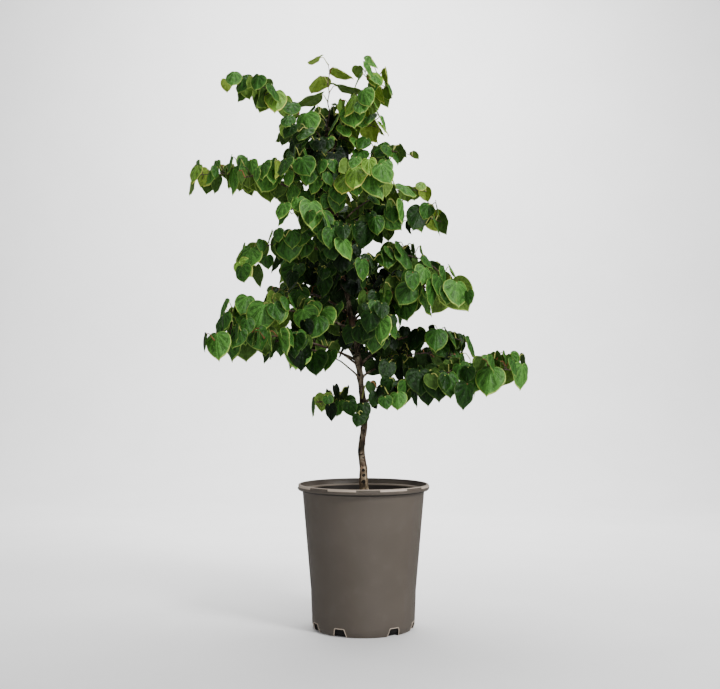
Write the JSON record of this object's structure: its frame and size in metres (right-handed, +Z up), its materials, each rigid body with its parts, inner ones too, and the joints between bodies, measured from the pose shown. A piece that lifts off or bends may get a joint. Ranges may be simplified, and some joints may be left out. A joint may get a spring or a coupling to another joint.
{
  "type": "potted redbud tree",
  "caption": "Young redbud tree with heart-shaped leaves in tiers, growing in a round plastic nursery pot.",
  "frame": {"origin": "centre of the pot's flat underside", "axes": "+Z up along the trunk, -Y towards the viewer of the picture, +X to the viewer's right"},
  "size_m": [0.7514, 0.505, 1.2401],
  "materials": {
    "pot_plastic": "satin",
    "potting_mix": "matte",
    "bark": "matte",
    "foliage": "satin"
  },
  "bodies": {
    "root": {"pot": "pot_plastic", "soil": "potting_mix", "trunk": "bark", "bough_back_high": "bark", "bough_back_left_foot": "bark", "bough_back_left_low": "bark", "bough_back_left_mid": "bark", "bough_back_low": "bark", "bough_back_right_foot": "bark", "bough_back_right_low": "bark", "bough_front_left_low": "bark", "bough_left_broad": "bark", "bough_left_high": "bark", "bough_left_low": "bark", "bough_left_mid": "bark", "bough_right_arch": "bark", "bough_right_broad": "bark", "bough_right_high": "bark", "bough_right_long": "bark", "bough_right_low": "bark", "bough_right_mid": "bark", "bough_right_top": "bark", "bough_upper_left": "bark", "bough_upper_right": "bark", "foliage_back_high": "foliage", "foliage_back_left_foot": "foliage", "foliage_back_left_low": "foliage", "foliage_back_left_mid": "foliage", "foliage_back_left_top": "foliage", "foliage_back_low": "foliage", "foliage_back_right_foot": "foliage", "foliage_back_right_low": "foliage", "foliage_back_top": "foliage", "foliage_front_high": "foliage", "foliage_front_left_high": "foliage", "foliage_front_left_low": "foliage", "foliage_front_left_mid": "foliage", "foliage_front_left_top": "foliage", "foliage_front_low": "foliage", "foliage_front_mid": "foliage", "foliage_front_right_foot": "foliage", "foliage_leader": "foliage", "foliage_left_broad": "foliage", "foliage_left_foot": "foliage", "foliage_left_high": "foliage", "foliage_left_low": "foliage", "foliage_left_mid": "foliage", "foliage_right_arch": "foliage", "foliage_right_broad": "foliage", "foliage_right_high": "foliage", "foliage_right_long": "foliage", "foliage_right_low": "foliage", "foliage_right_mid": "foliage", "foliage_right_top": "foliage", "foliage_upper_left": "foliage", "foliage_upper_right": "foliage"}
  },
  "joints": []
}
